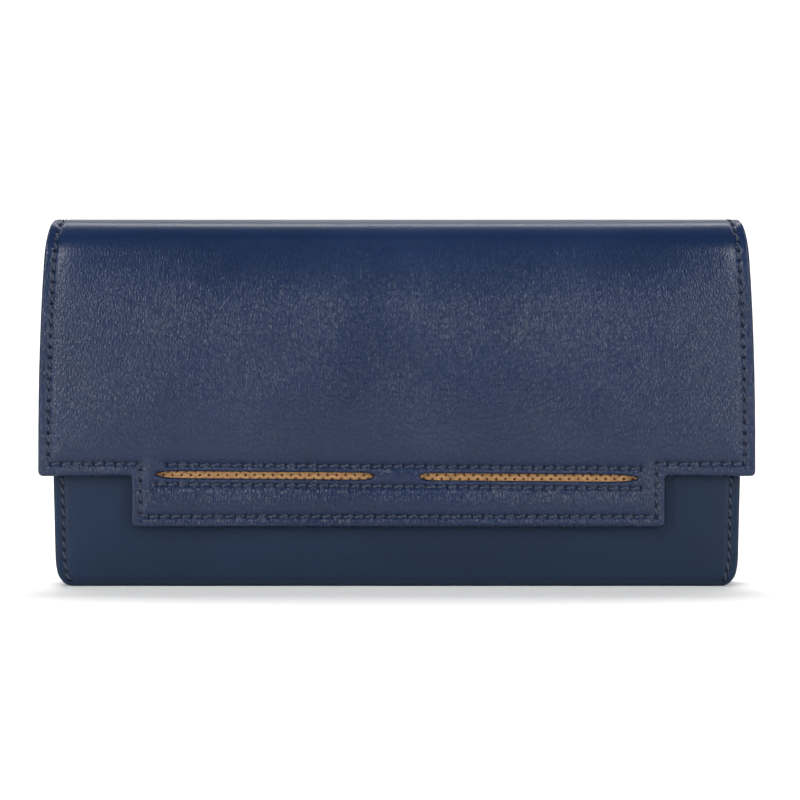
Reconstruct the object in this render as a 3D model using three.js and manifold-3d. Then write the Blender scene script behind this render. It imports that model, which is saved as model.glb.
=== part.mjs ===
// Long flap wallet, standing on its base. Millimetres, +Z up, +X to the right, front face towards -Y.
// Origin: middle of the base, at the bottom of the wallet's bounding box.
//
// The outer leather of the real wallet runs on from the front panel, under the base and up the back.
// It is split here at its fold lines, and so is the flap, which is sewn on the back panel and
// comes over the top.
import * as THREE from 'three';
import { mergeVertices } from 'three/addons/utils/BufferGeometryUtils.js';
import Module from 'manifold-3d';

const wasm = await Module();
wasm.setup();

// ---------------------------------------------------------------- driving dimensions
const DEPTH = 28;
const HEIGHT = 103.5;
const GAP = 0.3; // between two layers that touch in the real wallet
const LEATHER = 1.2;
const BOARD = 0.7;
const LINING = 0.4;

const BODY = { halfTop: 97.4, halfBottom: 95.4, corner: 4.2, backTop: 88, frontTop: 86 };
const BEND = 3.5; // outer radius where the leather turns under the base
const FLAP = {
  halfTop: 98.6,
  halfShoulder: 100,
  shoulderZ: 30.6,
  tongueHalf: 74.6,
  tongueZ: 16,
  corner: 1.4,
};
const FOLD = { radius: 12, hingeGap: 0.8 }; // hingeGap is the clear half width at each fold line
const ROOT_STRIP = { bottom: 71 }; // the flap's sewn end on the back panel
const SLIT = { near: 6.6, far: 67, z: 30.2, height: 2.4 };
const STRIP = { half: 71, low: 26.4, high: 34.2, thick: 0.5 }; // woven strip behind the slits
const MAGNET = { radius: 6.9, z: 44 };
const CARD = { width: 89.6, thick: 0.5, tops: [72, 60, 48], bottom: 4, middleGap: 0.6 };

const POCKET = { y: -0.6, half: 92, inner: 2.3, wall: 0.6, bottom: 4, top: 78.6 };
const COIL = { half: 84, inside: 0.35, outside: 1.85, low: 78.3, high: 80.1 };
const TAPE = { inside: 2.1, low: 78.9, high: 79.3 };
const SLIDER = { x: 77, length: 8.4, width: 5.8, plate: 0.8, post: 0.4 };
const PULL = { length: 13, width: 4.4, thick: 0.9, bar: 0.7 };
const GUSSET = { top: 83, bottom: 3, outer: 92.4, inner: 85.4, thick: 0.35 };

// ---------------------------------------------------------------- layers, as [front y, back y]
const behind = (layer, thick, gap = GAP) => [layer[1] + gap, layer[1] + gap + thick];
const before = (layer, thick, gap = GAP) => [layer[0] - gap - thick, layer[0] - gap];

const flapLeatherY = [-DEPTH / 2, -DEPTH / 2 + LEATHER];
const flapBoardY = behind(flapLeatherY, STRIP.thick, 0.25);
const flapLiningY = behind(flapBoardY, 0.3, 0.25);
const frontLeatherY = behind(flapLiningY, 1.1, 0.4);
const frontBoardY = behind(frontLeatherY, BOARD);
const frontLiningY = behind(frontBoardY, LINING);

const rootStripY = [DEPTH / 2 - LEATHER, DEPTH / 2];
const backLeatherY = before(rootStripY, LEATHER);
const backBoardY = before(backLeatherY, BOARD + 0.1);
const backLiningY = before(backBoardY, LINING);
const cardFrontY = backLiningY[0] - CARD.tops.length * (CARD.thick + GAP);

// ---------------------------------------------------------------- materials
const material = (color, roughness, metalness = 0) =>
  new THREE.MeshStandardMaterial({ color, roughness, metalness });

const NAVY_LEATHER = material(0x2c3b63, 0.5);
const LINING_CLOTH = material(0x27304a, 0.9);
const WOVEN_STRAW = material(0xc49a5a, 0.85);
const GREY_BOARD = material(0x8c8880, 0.95);
const ZIP_CLOTH = material(0x232b45, 0.95);
const ZIP_NYLON = material(0x2a3558, 0.45);
const GOLD_METAL = material(0xc9a25f, 0.3, 1);
const MAGNET_STEEL = material(0xa9adb2, 0.35, 1);

// ---------------------------------------------------------------- helpers
const wallet = new THREE.Group();

function add(name, geometry, surface) {
  const mesh = new THREE.Mesh(geometry, surface);
  mesh.name = name;
  wallet.add(mesh);
  return mesh;
}

function extrude(shape, depth, curveSegments = 8) {
  return new THREE.ExtrudeGeometry(shape, { depth, bevelEnabled: false, curveSegments });
}

// A shape drawn in X and Z, as a sheet between two values of Y.
function sheet(shape, [front, back]) {
  return extrude(shape, back - front).rotateX(Math.PI / 2).translate(0, back, 0);
}

// A section drawn in Y and Z, run along X from left to right.
function run(section, left, right) {
  const geometry = extrude(section, right - left, 10);
  const axes = new THREE.Matrix4().makeBasis(
    new THREE.Vector3(0, 1, 0),
    new THREE.Vector3(0, 0, 1),
    new THREE.Vector3(1, 0, 0),
  );
  return geometry.applyMatrix4(axes).translate(left, 0, 0);
}

function box([x0, x1], [y0, y1], [z0, z1]) {
  const geometry = new THREE.BoxGeometry(x1 - x0, y1 - y0, z1 - z0);
  return geometry.translate((x0 + x1) / 2, (y0 + y1) / 2, (z0 + z1) / 2);
}

function solid(geometry) {
  const bare = geometry.clone();
  bare.deleteAttribute('normal');
  bare.deleteAttribute('uv');
  const merged = mergeVertices(bare, 1e-4);
  return new wasm.Manifold(
    new wasm.Mesh({
      numProp: 3,
      vertProperties: new Float32Array(merged.attributes.position.array),
      triVerts: new Uint32Array(merged.index.array),
    }),
  );
}

function geometryOf(manifold) {
  const mesh = manifold.getMesh();
  const geometry = new THREE.BufferGeometry();
  geometry.setAttribute('position', new THREE.BufferAttribute(new Float32Array(mesh.vertProperties), 3));
  geometry.setIndex(new THREE.BufferAttribute(new Uint32Array(mesh.triVerts), 1));
  return geometry;
}

// A closed outline whose corners, given as [x, z, radius], are rounded.
function rounded(corners) {
  const path = new THREE.Shape();
  const count = corners.length;
  corners.forEach(([x, z, radius], index) => {
    const here = new THREE.Vector2(x, z);
    const last = new THREE.Vector2(...corners[(index + count - 1) % count].slice(0, 2));
    const next = new THREE.Vector2(...corners[(index + 1) % count].slice(0, 2));
    const enter = here.clone().add(last.sub(here).setLength(radius));
    const leave = here.clone().add(next.sub(here).setLength(radius));
    if (index === 0) path.moveTo(enter.x, enter.y);
    else path.lineTo(enter.x, enter.y);
    if (radius > 0) path.quadraticCurveTo(x, z, leave.x, leave.y);
  });
  path.closePath();
  return path;
}

function disc(radius, z) {
  const path = new THREE.Path();
  path.absarc(0, z, radius, 0, 2 * Math.PI, true);
  return path;
}

const halfBodyAt = (z) =>
  BODY.halfBottom + ((BODY.halfTop - BODY.halfBottom) * z) / BODY.backTop;

// The body's outline in X and Z, drawn in by inset, with round lower corners.
function bodyOutline(bottom, top, inset = 0) {
  const low = halfBodyAt(bottom) - inset;
  const high = halfBodyAt(top) - inset;
  const corner = Math.max(BODY.corner - inset, 2);
  return rounded([
    [-high, top, 0],
    [-low, bottom, corner],
    [low, bottom, corner],
    [high, top, 0],
  ]);
}

// ---------------------------------------------------------------- outer leather of the body
// The section of a panel with its turn under the base. side is +1 for the back and -1 for the front.
function panelSection([front, back], top, side) {
  const outer = side > 0 ? back : front;
  const inner = side > 0 ? front : back;
  const thick = back - front;
  const centre = outer - side * BEND;
  const upright = side > 0 ? 0 : -Math.PI;
  const down = -Math.PI / 2;
  const section = new THREE.Shape();
  section.moveTo(outer, top);
  section.lineTo(outer, BEND);
  section.absarc(centre, BEND, BEND, upright, down, side > 0);
  section.lineTo(centre, thick);
  section.absarc(centre, BEND, BEND - thick, down, upright, side < 0);
  section.lineTo(inner, top);
  section.closePath();
  return section;
}

// A panel with a turned lower edge whose lower corners are round as seen from the front.
function wrappedPanel(layer, top, side) {
  const bar = solid(run(panelSection(layer, top, side), -110, 110));
  const mask = solid(sheet(bodyOutline(0, top), [-DEPTH, DEPTH]));
  return geometryOf(bar.intersect(mask));
}

const backBendY = backLeatherY[1] - BEND;
const frontBendY = frontLeatherY[0] + BEND; // also the line about which the front panel leans

function bodyLeather() {
  add('back_leather', wrappedPanel(backLeatherY, BODY.backTop, 1), NAVY_LEATHER);
  add('front_leather', wrappedPanel(frontLeatherY, BODY.frontTop, -1), NAVY_LEATHER);
  const leanRoom = 0.9; // the front panel's turned edge comes back this far as it leans
  const base = solid(box([-110, 110], [frontBendY + leanRoom, backBendY - GAP], [0, LEATHER]));
  const mask = solid(sheet(bodyOutline(0, BODY.backTop), [-DEPTH, DEPTH]));
  add('base_leather', geometryOf(base.intersect(mask)), NAVY_LEATHER);
}

// ---------------------------------------------------------------- back panel, inside
function backInside() {
  add('back_board', sheet(bodyOutline(5, BODY.backTop - 1.5, 1.5), backBoardY), GREY_BOARD);
  add('back_lining', sheet(bodyOutline(4, BODY.backTop - 0.5, 1), backLiningY), LINING_CLOTH);
  const floor = [frontBendY + 2, backLiningY[0] - GAP];
  add('base_lining', box([-88, 88], floor, [LEATHER + GAP, LEATHER + GAP + LINING]), LINING_CLOTH);
}

// Two columns of stepped card slots. Row 1 is the tallest and lies against the lining.
function cardSlots() {
  let layer = backLiningY;
  CARD.tops.forEach((top, row) => {
    layer = before(layer, CARD.thick);
    for (const side of [-1, 1]) {
      const near = CARD.middleGap * side;
      const far = (CARD.middleGap + CARD.width) * side;
      const outline = rounded([
        [near, top, 0],
        [near, CARD.bottom, 0],
        [far, CARD.bottom, 1],
        [far, top, 0],
      ]);
      const place = side < 0 ? 'left' : 'right';
      add(`card_slot_${place}_${row + 1}`, sheet(outline, layer), NAVY_LEATHER);
    }
  });
}

// ---------------------------------------------------------------- front panel, inside
function frontInside() {
  const board = bodyOutline(5, BODY.frontTop - 1.5, 1.5);
  board.holes.push(disc(MAGNET.radius + 0.4, MAGNET.z));
  add('front_board', sheet(board, frontBoardY), GREY_BOARD);
  add('front_lining', sheet(bodyOutline(5, BODY.frontTop - 0.5, 1), frontLiningY), LINING_CLOTH);
  add('front_magnet', magnet(frontBoardY), MAGNET_STEEL);
}

function magnet([front, back]) {
  const geometry = new THREE.CylinderGeometry(MAGNET.radius, MAGNET.radius, back - front, 40);
  return geometry.translate(0, (front + back) / 2, MAGNET.z);
}

// ---------------------------------------------------------------- fold over the top
// Seen from the side the fold is two quarter rounds with a short flat between them. Angles run from
// 0 at the back, through 90 degrees along the flat, to 180 at the front. The leather bends about
// the middle of each quarter round, so it is split there.
const QUARTER = Math.PI / 2;
const archZ = HEIGHT - FOLD.radius;
const archHalf = DEPTH / 2 - FOLD.radius;
const hingeAngle = FOLD.hingeGap / (FOLD.radius - LEATHER / 2);
const rearHinge = QUARTER / 2;
const frontHinge = Math.PI - QUARTER / 2;

// One side of the fold's section, as arcs from angle a to angle b at this radius.
function traceArch(section, radius, a, b) {
  const clockwise = b < a;
  const stops = [a, ...[QUARTER].filter((stop) => (stop - a) * (stop - b) < 0), b];
  for (let index = 1; index < stops.length; index += 1) {
    const middle = (stops[index - 1] + stops[index]) / 2;
    const centre = middle < QUARTER ? archHalf : -archHalf;
    section.absarc(centre, archZ, radius, stops[index - 1], stops[index], clockwise);
  }
}

// A stretch of the fold, of one thickness. tail is a straight end, going down to that height.
function archSection(inset, thick, a, b, tail = {}) {
  const outer = FOLD.radius - inset;
  const section = new THREE.Shape();
  if (tail.rear !== undefined) {
    section.moveTo(archHalf + outer, tail.rear);
    section.lineTo(archHalf + outer, archZ);
  }
  traceArch(section, outer, a, b);
  if (tail.front !== undefined) {
    section.lineTo(-archHalf - outer, tail.front);
    section.lineTo(-archHalf - outer + thick, tail.front);
  }
  traceArch(section, outer - thick, b, a);
  if (tail.rear !== undefined) section.lineTo(archHalf + outer - thick, tail.rear);
  section.closePath();
  return section;
}

function fold() {
  const half = FLAP.halfTop;
  const [from, to] = [rearHinge + hingeAngle, frontHinge - hingeAngle];
  add('fold_leather', run(archSection(0, LEATHER, from, to), -half, half), NAVY_LEATHER);
  const lining = archSection(LEATHER + GAP, LINING, from, to);
  add('fold_lining', run(lining, -half + 1.2, half - 1.2), LINING_CLOTH);
}

// The flap's end that is sewn on the back panel, with the first part of the fold.
function flapRoot() {
  const half = FLAP.halfTop;
  const section = archSection(0, LEATHER, 0, rearHinge - hingeAngle, { rear: ROOT_STRIP.bottom });
  add('flap_root_leather', run(section, -half, half), NAVY_LEATHER);
}

// ---------------------------------------------------------------- flap
function flapOutline(top, inset = 0, low = FLAP.tongueZ) {
  const corner = Math.max(FLAP.corner - inset / 2, 0.5);
  const high = FLAP.halfTop - inset;
  const wide = FLAP.halfShoulder - inset;
  const tongue = FLAP.tongueHalf - inset;
  const shoulder = FLAP.shoulderZ + inset;
  return rounded([
    [-high, top, 0],
    [-wide, shoulder, corner],
    [-tongue, shoulder, 0.8],
    [-tongue, low + inset, corner],
    [tongue, low + inset, corner],
    [tongue, shoulder, 0.8],
    [wide, shoulder, corner],
    [high, top, 0],
  ]);
}

// A slit drawn open in the middle of its length, with a point at each end.
function slit(side) {
  const path = new THREE.Path();
  const near = SLIT.near * side;
  const far = SLIT.far * side;
  const pull = SLIT.height * 0.62;
  const shoulder = 5 * side;
  path.moveTo(near, SLIT.z);
  path.bezierCurveTo(near + shoulder, SLIT.z + pull, far - shoulder, SLIT.z + pull, far, SLIT.z);
  path.bezierCurveTo(far - shoulder, SLIT.z - pull, near + shoulder, SLIT.z - pull, near, SLIT.z);
  return path;
}

function flap() {
  const leather = flapOutline(archZ);
  leather.holes.push(slit(-1), slit(1));
  const bend = archSection(0, LEATHER, frontHinge + hingeAngle, Math.PI, { front: archZ - 0.1 });
  const face = solid(sheet(leather, flapLeatherY));
  const top = solid(run(bend, -FLAP.halfTop, FLAP.halfTop));
  add('flap_leather', geometryOf(face.add(top)), NAVY_LEATHER);

  const board = flapOutline(archZ - 1, 2);
  const window = new THREE.Path();
  window.moveTo(-STRIP.half - GAP, STRIP.low - GAP);
  window.lineTo(-STRIP.half - GAP, STRIP.high + GAP);
  window.lineTo(STRIP.half + GAP, STRIP.high + GAP);
  window.lineTo(STRIP.half + GAP, STRIP.low - GAP);
  window.closePath();
  board.holes.push(window, disc(MAGNET.radius + 0.4, MAGNET.z));
  add('flap_board', sheet(board, flapBoardY), GREY_BOARD);
  add('flap_lining', sheet(flapOutline(archZ, 1), flapLiningY), LINING_CLOTH);
  add('woven_strip', box([-STRIP.half, STRIP.half], flapBoardY, [STRIP.low, STRIP.high]), WOVEN_STRAW);
  add('flap_magnet', magnet(flapBoardY), MAGNET_STEEL);
}

// ---------------------------------------------------------------- coin pocket and zip
const pocketFront = POCKET.y - POCKET.inner;
const pocketBack = POCKET.y + POCKET.inner;

function coinPocket() {
  const half = POCKET.half;
  const wall = rounded([
    [-half, POCKET.top, 0],
    [-half, POCKET.bottom, 3],
    [half, POCKET.bottom, 3],
    [half, POCKET.top, 0],
  ]);
  add('coin_pocket_front_wall', sheet(wall, [pocketFront - POCKET.wall, pocketFront]), LINING_CLOTH);
  add('coin_pocket_rear_wall', sheet(wall, [pocketBack, pocketBack + POCKET.wall]), LINING_CLOTH);
  const between = [pocketFront + GAP, pocketBack - GAP];
  const floor = [POCKET.bottom + 0.4, POCKET.bottom + 0.8];
  add('coin_pocket_floor', box([-half + 4, half - 4], between, floor), LINING_CLOTH);
  for (const side of [-1, 1]) {
    const x = side < 0 ? [-half + 0.6, -half + 1] : [half - 1, half - 0.6];
    const place = side < 0 ? 'left' : 'right';
    const upright = [POCKET.bottom + 4, POCKET.top - 1];
    add(`coin_pocket_side_${place}`, box(x, between, upright), LINING_CLOTH);
  }
}

// One tape and one row of coil on each side of the pocket's mouth.
function zipRows() {
  for (const side of [-1, 1]) {
    const place = side < 0 ? 'front' : 'rear';
    const band = (near, far) => [POCKET.y + near * side, POCKET.y + far * side].sort((a, b) => a - b);
    const tape = band(TAPE.inside, POCKET.inner + POCKET.wall);
    const wide = [-POCKET.half + 2, POCKET.half - 2];
    add(`zip_tape_${place}`, box(wide, tape, [TAPE.low, TAPE.high]), ZIP_CLOTH);
    const coil = band(COIL.inside, COIL.outside);
    add(`zip_coil_${place}`, box([-COIL.half, COIL.half], coil, [COIL.low, COIL.high]), ZIP_NYLON);
  }
}

// A bent wire stop across both rows, past each end of the coil.
function zipStops() {
  for (const side of [-1, 1]) {
    const near = COIL.half + GAP;
    const x = side < 0 ? [-near - 1.4, -near] : [near, near + 1.4];
    const place = side < 0 ? 'left' : 'right';
    const across = [POCKET.y - 1.8, POCKET.y + 1.8];
    add(`zip_stop_${place}`, box(x, across, [COIL.low, COIL.high + 0.2]), GOLD_METAL);
  }
}

const sliderTop = COIL.high + 0.25 + SLIDER.plate;
const pullAxisZ = sliderTop + 0.75;

// A plate seen from above, round at its nose.
function plate(halfWidth, low, high) {
  const nose = SLIDER.length / 2;
  const outline = rounded([
    [-nose, -halfWidth, 1],
    [nose, -halfWidth, halfWidth * 0.8],
    [nose, halfWidth, halfWidth * 0.8],
    [-nose, halfWidth, 1],
  ]);
  return extrude(outline, high - low, 6).translate(SLIDER.x, POCKET.y, low);
}

function zipSlider() {
  const half = SLIDER.width / 2;
  const upperLow = sliderTop - SLIDER.plate;
  const lowerHigh = COIL.low - 0.25;
  const lowerLow = lowerHigh - SLIDER.plate;
  const { x, length, post } = SLIDER;
  const side = (sign) => [POCKET.y + sign * half, POCKET.y + sign * (half - 0.7)].sort((a, b) => a - b);
  const along = [x - length / 2 + 1, x + length / 2 - 2.4];
  const middle = [POCKET.y - post / 2, POCKET.y + post / 2];
  let body = solid(plate(half, upperLow, sliderTop));
  body = body.add(solid(plate(2, lowerLow, lowerHigh)));
  body = body.add(solid(box(along, side(-1), [TAPE.high + GAP, sliderTop - 0.1])));
  body = body.add(solid(box(along, side(1), [TAPE.high + GAP, sliderTop - 0.1])));
  body = body.add(solid(box([x + 0.4, x + 2.8], middle, [lowerHigh - 0.1, upperLow + 0.1])));

  // The bridge that holds the pull, an arch along the slider.
  const bridge = new THREE.Shape();
  bridge.moveTo(-2.7, -0.1);
  bridge.bezierCurveTo(-2.7, 2.9, 2.7, 2.9, 2.7, -0.1);
  bridge.lineTo(1.9, -0.1);
  bridge.bezierCurveTo(1.9, 1.95, -1.9, 1.95, -1.9, -0.1);
  bridge.closePath();
  const arm = extrude(bridge, 1.2, 10).rotateX(Math.PI / 2).translate(x, POCKET.y + 0.6, sliderTop);
  add('zip_slider', geometryOf(body.add(solid(arm))), GOLD_METAL);
}

// The pull lies along the zip at rest, towards -X, with its bar under the bridge.
function zipPull() {
  const { length, width, thick, bar } = PULL;
  const tab = rounded([
    [bar / 2, -width / 2, 0.8],
    [bar / 2, width / 2, 0.8],
    [-length, width / 2, 1.6],
    [-length, -width / 2, 1.6],
  ]);
  const eye = rounded([
    [-bar / 2, -1, 0.2],
    [-3.5, -1, 0.2],
    [-3.5, 1, 0.2],
    [-bar / 2, 1, 0.2],
  ]);
  tab.holes.push(eye);
  const slot = rounded([
    [-length + 2.4, -0.8, 0.7],
    [-length + 6, -0.8, 0.7],
    [-length + 6, 0.8, 0.7],
    [-length + 2.4, 0.8, 0.7],
  ]);
  tab.holes.push(slot);
  const body = extrude(tab, thick, 6).translate(SLIDER.x, POCKET.y, pullAxisZ - thick / 2);
  add('zip_pull', body, GOLD_METAL);
}

// ---------------------------------------------------------------- side gussets
// A folded strip at each end. Seen from above it is a W, with its folds drawn in between the panels.
function gussets() {
  const thick = GUSSET.thick;
  const rear = cardFrontY - 0.4;
  const front = frontLiningY[1] + 0.5;
  const pocketRear = pocketBack + POCKET.wall + 0.5;
  const pocketNose = pocketFront - POCKET.wall - 0.5;
  for (const side of [-1, 1]) {
    const outer = GUSSET.outer * side;
    const inner = GUSSET.inner * side;
    const edge = (GUSSET.outer + 0.7) * side;
    const centre = [
      [outer, rear],
      [inner, (rear + pocketRear) / 2],
      [outer, pocketRear],
      [edge, POCKET.y],
      [outer, pocketNose],
      [inner, (front + pocketNose) / 2],
      [outer, front],
    ];
    const shape = new THREE.Shape();
    centre.forEach(([x, y], index) => {
      if (index === 0) shape.moveTo(x, y);
      else shape.lineTo(x, y);
    });
    centre.reverse().forEach(([x, y]) => shape.lineTo(x + thick * 1.6 * side, y));
    shape.closePath();
    const place = side < 0 ? 'left' : 'right';
    const height = GUSSET.top - GUSSET.bottom;
    add(`gusset_${place}`, extrude(shape, height).translate(0, 0, GUSSET.bottom), LINING_CLOTH);
  }
}

bodyLeather();
backInside();
cardSlots();
flapRoot();
frontInside();
fold();
flap();
coinPocket();
zipRows();
zipStops();
zipSlider();
zipPull();
gussets();

export default wallet;
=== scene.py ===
"""Long flap wallet in padded navy leather, standing on a pale floor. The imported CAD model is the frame.

Shapes are worked out in millimetres, in the frame's axes: +X right, front towards -Y, +Z up. Every sheet
of leather or cloth is drawn flat, in a plane of X and v, and a place function lays it along its path.
"""
import math

import bpy
import numpy as np
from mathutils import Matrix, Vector
from mathutils.geometry import delaunay_2d_cdt


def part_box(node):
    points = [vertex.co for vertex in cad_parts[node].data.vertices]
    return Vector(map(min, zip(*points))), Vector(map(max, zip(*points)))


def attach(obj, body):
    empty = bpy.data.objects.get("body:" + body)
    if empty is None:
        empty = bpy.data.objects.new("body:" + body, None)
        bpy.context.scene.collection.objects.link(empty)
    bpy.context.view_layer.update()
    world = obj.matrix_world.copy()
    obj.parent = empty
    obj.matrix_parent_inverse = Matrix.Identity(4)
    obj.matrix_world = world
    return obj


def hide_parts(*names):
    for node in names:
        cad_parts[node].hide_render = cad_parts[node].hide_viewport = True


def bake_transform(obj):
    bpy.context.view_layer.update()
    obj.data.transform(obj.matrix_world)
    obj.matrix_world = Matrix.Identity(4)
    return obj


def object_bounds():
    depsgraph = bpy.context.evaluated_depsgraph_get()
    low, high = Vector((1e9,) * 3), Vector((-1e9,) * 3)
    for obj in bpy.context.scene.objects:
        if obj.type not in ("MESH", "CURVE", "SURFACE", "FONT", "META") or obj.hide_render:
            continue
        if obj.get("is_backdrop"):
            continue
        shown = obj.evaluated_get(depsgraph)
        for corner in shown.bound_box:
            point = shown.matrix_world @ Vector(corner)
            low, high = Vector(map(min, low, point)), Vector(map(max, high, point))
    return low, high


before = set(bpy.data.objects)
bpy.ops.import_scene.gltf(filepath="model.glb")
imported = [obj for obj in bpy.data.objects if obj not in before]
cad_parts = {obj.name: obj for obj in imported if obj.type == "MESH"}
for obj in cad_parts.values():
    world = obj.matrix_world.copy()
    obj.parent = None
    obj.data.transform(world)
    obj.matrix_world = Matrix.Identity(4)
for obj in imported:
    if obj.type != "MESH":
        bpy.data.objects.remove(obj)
cad_low, cad_high = (np.array(corner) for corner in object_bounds())
MM = 0.001


def box_mm(node):
    """A CAD node's lowest and highest corners, in millimetres."""
    low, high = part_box(node)
    return np.array(low) / MM, np.array(high) / MM


# ---- sizes, in millimetres
HALF_DEPTH = cad_high[1] / MM
HEIGHT = cad_high[2] / MM
FOLD_RADIUS = 12.0
LEATHER = 1.2
QUARTER = math.pi / 2 * FOLD_RADIUS  # length of the leather round a quarter of the fold
FLAT = HALF_DEPTH - FOLD_RADIUS  # half of the flat stretch on top
FOLD_Z = HEIGHT - FOLD_RADIUS  # below this the flap and its sewn end hang straight

flap_low = box_mm("flap_leather")[0]
root_low = box_mm("flap_root_leather")[0]
front_low, front_high = box_mm("front_leather")
back_high = box_mm("back_leather")[1]
strip_low, strip_high = box_mm("woven_strip")

FLAP_HALF = 100.0
TOP_NARROWING = 3.5  # how much less the half width is on top than at the flap's shoulders
TONGUE_HALF, TONGUE_SHIFT = 74.4, 0.5  # the tongue sits a little to the right
SHOULDER_Z = 31.0
TONGUE_Z = flap_low[2] + 0.8
BODY_HALF, BODY_FLARE = 95.4, 2.2  # the body's half width at its base, and how much more it is on top
BODY_GRID_HALF = 97.5
BEND = 3.5  # outer radius where the body leather turns under the base
CORNER_WIDTH, CORNER_HEIGHT = 3.2, 8.0  # the body's lower corners are quarter ellipses
STITCH_PITCH, FINE_PITCH = 3.0, 2.6  # on the outer leather, and on the card slots and the zip's bindings
THREAD_SLANT = 0.36  # how far a stitch leans across its seam, for each millimetre of its length
THREAD_TRIM = 0.36  # how far from the middle of a needle hole the thread comes up
SLIT_NEAR, SLIT_FAR, SLIT_Z, SLIT_HEIGHT = 6.2, 67.3, 31.0, 2.05

V_FOLD = FLAT + QUARTER  # from the middle of the top to the end of the fold, along the leather
V_SHOULDER = -(V_FOLD + FOLD_Z - SHOULDER_Z)
V_TONGUE = -(V_FOLD + FOLD_Z - TONGUE_Z)
V_ROOT = V_FOLD + FOLD_Z - root_low[2]
V_SLIT = -(V_FOLD + FOLD_Z - SLIT_Z)
FAR = 1e9  # a distance larger than any here


def smooth(t):
    t = np.clip(t, 0.0, 1.0)
    return t * t * (3 - 2 * t)


# ---- material nodes
class Nodes:
    """A material's node tree, with short calls for the nodes used here."""

    def __init__(self, name):
        self.material = bpy.data.materials.new(name)
        self.material.use_nodes = True
        self.tree = self.material.node_tree
        self.shader = self.tree.nodes["Principled BSDF"]

    def put(self, socket, value):
        if isinstance(value, bpy.types.NodeSocket):
            self.tree.links.new(value, socket)
        else:
            socket.default_value = value

    def new(self, kind, values=(), output=0, settings=None, **inputs):
        """A new node's output. values go in its first inputs, and inputs are put in by their names."""
        node = self.tree.nodes.new("ShaderNode" + kind)
        for key, value in (settings or {}).items():
            setattr(node, key, value)
        for socket, value in zip(node.inputs, values):
            self.put(socket, value)
        for key, value in inputs.items():
            self.put(node.inputs[key], value)
        return node.outputs[output]

    def attribute(self, name, output="Vector"):
        return self.new("Attribute", (), output, {"attribute_name": name})

    def object_place(self):
        return self.new("TexCoord", (), "Object")

    def math(self, operation, a, b=0.0, c=0.0):
        return self.new("Math", (a, b, c), 0, {"operation": operation})

    def scaled(self, vector, x, y=None, z=None):
        return self.new("VectorMath", (vector, (x, y or x, z or x)), 0, {"operation": "MULTIPLY"})

    def added(self, a, b):
        return self.new("VectorMath", (a, b), 0, {"operation": "ADD"})

    def noise(self, vector, scale, detail=3.0, roughness=0.5, output="Fac"):
        inputs = {"Vector": vector, "Scale": scale, "Detail": detail, "Roughness": roughness}
        return self.new("TexNoise", (), output, **inputs)

    def cells(self, vector, scale):
        """The distance to the nearest border between the cells of a Voronoi pattern."""
        settings = {"feature": "DISTANCE_TO_EDGE"}
        return self.new("TexVoronoi", (), "Distance", settings, Vector=vector, Scale=scale)

    def span(self, value, low, high, to_low=0.0, to_high=1.0):
        """Value between low and high, mapped on to to_low and to_high, and held at the ends."""
        return self.new("MapRange", (value, low, high, to_low, to_high))

    def mix(self, factor, a, b):
        node = self.tree.nodes.new("ShaderNodeMix")
        node.data_type = "RGBA"
        self.put(node.inputs["Factor"], factor)
        for key, value in (("A", a), ("B", b)):
            socket = [s for s in node.inputs if s.name == key and s.type == "RGBA"][0]
            self.put(socket, (*value, 1.0) if isinstance(value, tuple) and len(value) == 3 else value)
        return [s for s in node.outputs if s.type == "RGBA"][0]

    def bump(self, height, distance, strength=1.0):
        return self.new("Bump", Strength=strength, Distance=distance, Height=height)

    def finish(self, **sockets):
        for key, value in sockets.items():
            self.put(self.shader.inputs[key.replace("_", " ")], value)
        return self.material


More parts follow.
